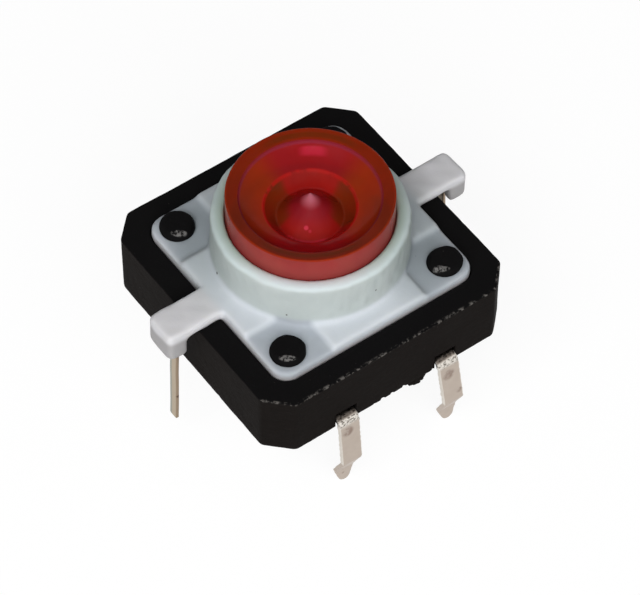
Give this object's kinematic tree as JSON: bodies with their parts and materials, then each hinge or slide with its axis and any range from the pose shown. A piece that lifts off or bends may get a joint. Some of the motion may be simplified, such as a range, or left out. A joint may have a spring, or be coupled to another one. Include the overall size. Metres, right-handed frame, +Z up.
{
  "type": "illuminated push button",
  "caption": "Square through-hole push button for a circuit board: black base, white cover with collar and side arms, clear red lit cap that clicks down, bent pins and flat lamp leads.",
  "frame": {"origin": "centre of the base's bottom face, which lies on the circuit board", "axes": "+Z up along the button's travel, towards the cap; +X along the two lamp arms, towards the cathode lead; +Y towards the back pair of pins"},
  "size_m": [0.015, 0.013, 0.0109],
  "materials": {
    "black_moulding": "satin moulded",
    "white_moulding": "satin moulded",
    "red_clear": "polished clear",
    "pale_moulding": "satin moulded",
    "spring_steel": "bright rolled",
    "tinned_strip": "tinned",
    "lamp_clear": "clear moulded",
    "lamp_lead": "tinned",
    "die": "polished",
    "bond_wire": "drawn"
  },
  "bodies": {
    "housing": {"base": "black_moulding", "cover": "white_moulding", "snap_dome": "spring_steel", "terminal_a": "tinned_strip", "terminal_b": "tinned_strip", "led_lens": "lamp_clear", "led_anode_lead": "lamp_lead", "led_cathode_lead": "lamp_lead", "led_chip": "die", "led_bond_wire": "bond_wire"},
    "button": {"plunger": "pale_moulding", "cap": "red_clear"}
  },
  "joints": [
    {"name": "press", "type": "slide", "parent": "housing", "child": "button", "axis": [0, 0, -1], "range_m": [0, 0.0003], "stiffness_N_per_m": 5300, "deforming": ["snap_dome"]}
  ]
}
